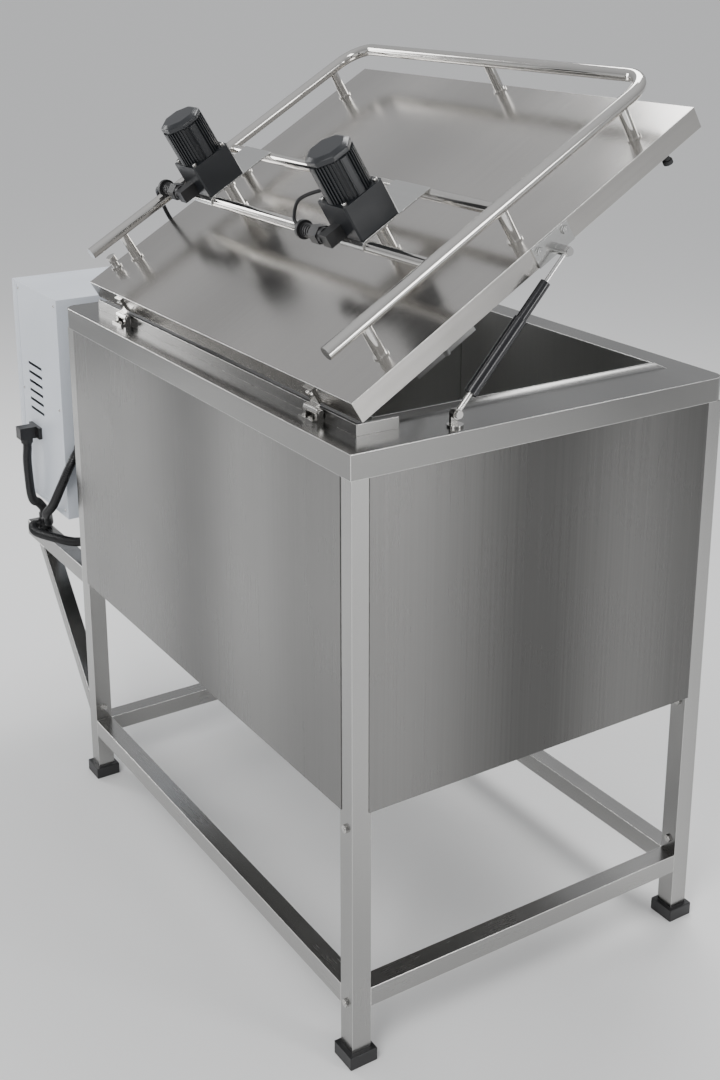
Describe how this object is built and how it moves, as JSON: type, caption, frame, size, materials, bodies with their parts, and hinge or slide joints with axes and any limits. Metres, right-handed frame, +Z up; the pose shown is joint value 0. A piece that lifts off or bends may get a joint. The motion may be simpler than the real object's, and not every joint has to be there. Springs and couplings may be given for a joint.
{
  "type": "bulk milk tank",
  "caption": "Stainless bulk milk cooling tank on a leg frame, with a hinged insulated lid, motor agitators, gas struts and an end cabinet for the cooling unit.",
  "frame": {"origin": "floor level under the middle of the part's bounding box", "axes": "+X along the tank from the near end to the cabinet, +Y towards the hinge side, +Z up"},
  "size_m": [1.527, 0.862, 1.684],
  "materials": {
    "frame_steel": "brushed stainless tube",
    "black_plastic": "matt black moulding",
    "vessel_steel": "dairy-polished stainless",
    "foam": null,
    "rim_steel": "satin stainless",
    "cladding": "vertically brushed stainless sheet",
    "fixings": "bright stainless",
    "cabinet_paint": "light grey powder coat",
    "conduit_black": "ribbed black conduit",
    "machine_black": "black enamel",
    "aluminium_fins": "finned coil",
    "box_grey": "grey enclosure",
    "lock_metal": "dark nickel",
    "lid_steel": "satin stainless lid",
    "rubber_black": "black rubber",
    "polished_tube": "polished stainless tube",
    "plate_steel": "bright stainless plate",
    "motor_black": "black paint",
    "cover_black": "semi-gloss black",
    "lead_black": "black cable",
    "strut_black": "black gas strut tube",
    "strut_rod": "bright rod"
  },
  "bodies": {
    "tank": {"legs": "frame_steel", "long_stretchers": "frame_steel", "short_stretchers": "frame_steel", "feet": "black_plastic", "vessel": "vessel_steel", "insulation": "foam", "rim": "rim_steel", "panel_hinge_side": "cladding", "panel_front": "cladding", "panel_near_end": "cladding", "panel_far_end": "cladding", "bottom_pan": "cladding", "frame_bolts": "fixings", "hinge_strip": "rim_steel", "hinge_bases": "fixings", "hinge_pins": "fixings", "strut_feet": "fixings", "outlet_pipe": "vessel_steel", "valve_body": "vessel_steel", "bracket_arms": "frame_steel", "arm_braces": "frame_steel", "cabinet_rails": "frame_steel", "cabinet_shell": "cabinet_paint", "louvre_panel": "cabinet_paint", "conduit_glands": "black_plastic", "conduits": "conduit_black", "compressor": "machine_black", "condenser": "aluminium_fins", "control_box": "box_grey", "door_hinges": "fixings"},
    "lid": {"lid_shell": "lid_steel", "lid_liner": "vessel_steel", "lid_foam": "foam", "lid_seal": "rubber_black", "lid_rail": "polished_tube", "rail_posts": "polished_tube", "cross_tubes": "polished_tube", "motor_plates": "plate_steel", "gearbox_near": "motor_black", "gearbox_far": "motor_black", "motor_near": "motor_black", "motor_far": "motor_black", "fan_covers": "cover_black", "lead_glands": "black_plastic", "motor_leads": "lead_black", "shaft_sleeves": "polished_tube", "hinge_leaves": "fixings", "strut_plates": "plate_steel", "lid_bumpers": "rubber_black", "lid_vent": "fixings"},
    "agitator_near": {"agitator_near": "vessel_steel"},
    "agitator_far": {"agitator_far": "vessel_steel"},
    "strut_tube_near": {"strut_tube_near": "strut_black"},
    "strut_rod_near": {"strut_rod_near": "strut_rod"},
    "strut_tube_far": {"strut_tube_far": "strut_black"},
    "strut_rod_far": {"strut_rod_far": "strut_rod"},
    "cabinet_door": {"cabinet_door": "cabinet_paint"},
    "door_lock": {"door_lock": "lock_metal"},
    "valve_lever": {"valve_lever": "vessel_steel"},
    "condenser_fan": {"condenser_fan": "black_plastic"}
  },
  "joints": [
    {"name": "lid_hinge", "type": "hinge", "parent": "tank", "child": "lid", "pos_m": [-0.1745, 0.343, 1.156], "axis": [-1, 0, 0], "range_deg": [-30.9, 0], "stiffness_Nm_per_rad": 60, "springref_deg": 164.44},
    {"name": "strut_swing_near", "type": "hinge", "parent": "tank", "child": "strut_tube_near", "pos_m": [-0.7325, 0.17, 1.162], "axis": [-1, 0, 0], "range_deg": [-46.87, 0]},
    {"name": "strut_slide_near", "type": "slide", "parent": "strut_tube_near", "child": "strut_rod_near", "axis": [0, -0.6686, 0.7436], "range_m": [-0.03626, 0]},
    {"name": "strut_swing_far", "type": "hinge", "parent": "tank", "child": "strut_tube_far", "pos_m": [0.3755, 0.17, 1.162], "axis": [-1, 0, 0], "range_deg": [-46.87, 0]},
    {"name": "strut_slide_far", "type": "slide", "parent": "strut_tube_far", "child": "strut_rod_far", "axis": [0, -0.6686, 0.7436], "range_m": [-0.03626, 0]},
    {"name": "agitator_near_spin", "type": "hinge", "parent": "lid", "child": "agitator_near", "pos_m": [-0.4125, 0.06172, 1.3325], "axis": [0, 0.5135, 0.8581], "continuous": true},
    {"name": "agitator_far_spin", "type": "hinge", "parent": "lid", "child": "agitator_far", "pos_m": [0.1585, 0.06172, 1.3325], "axis": [0, 0.5135, 0.8581], "continuous": true},
    {"name": "cabinet_door_swing", "type": "hinge", "parent": "tank", "child": "cabinet_door", "pos_m": [0.7415, -0.424, 0.88], "axis": [0, 0, -1], "range_deg": [0, 110]},
    {"name": "door_lock_turn", "type": "hinge", "parent": "cabinet_door", "child": "door_lock", "pos_m": [0.7415, 0.345, 0.88], "axis": [1, 0, 0], "range_deg": [0, 90]},
    {"name": "outlet_valve_turn", "type": "hinge", "parent": "tank", "child": "valve_lever", "pos_m": [-0.1755, -0.0365, 0.427], "axis": [1, 0, 0], "range_deg": [0, 90]},
    {"name": "condenser_fan_spin", "type": "hinge", "parent": "tank", "child": "condenser_fan", "pos_m": [0.5415, -0.075, 0.7715], "axis": [1, 0, 0], "continuous": true}
  ],
  "couplings": [
    {"joint": "strut_swing_near", "follows": "lid_hinge", "ratio": 1.5103},
    {"joint": "strut_slide_near", "follows": "lid_hinge", "m_per_rad": 0.066686},
    {"joint": "strut_swing_far", "follows": "lid_hinge", "ratio": 1.5103},
    {"joint": "strut_slide_far", "follows": "lid_hinge", "m_per_rad": 0.066686}
  ]
}
